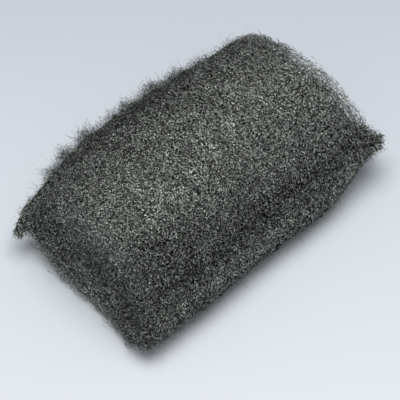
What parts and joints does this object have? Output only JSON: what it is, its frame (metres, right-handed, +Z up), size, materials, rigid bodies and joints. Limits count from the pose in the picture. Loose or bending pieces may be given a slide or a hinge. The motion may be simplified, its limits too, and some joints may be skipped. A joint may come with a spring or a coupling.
{
  "type": "steel wool pad",
  "caption": "Pillow-shaped scouring and polishing pad: a batt of fine steel wool wound into a flattened roll, with a lapped front edge, open wound ends and frayed corners.",
  "frame": {"origin": "on the surface the pad lies on, below the middle of its bounding box", "axes": "+X along the roll's axis, the pad's long way; +Y towards the back, away from the lap; +Z up"},
  "size_m": [0.1182, 0.0754, 0.0392],
  "materials": {
    "steel_wool": "fine dark grey steel fibre with bright glints"
  },
  "bodies": {
    "root": {"steel_wool_pad": "steel_wool"}
  },
  "joints": []
}
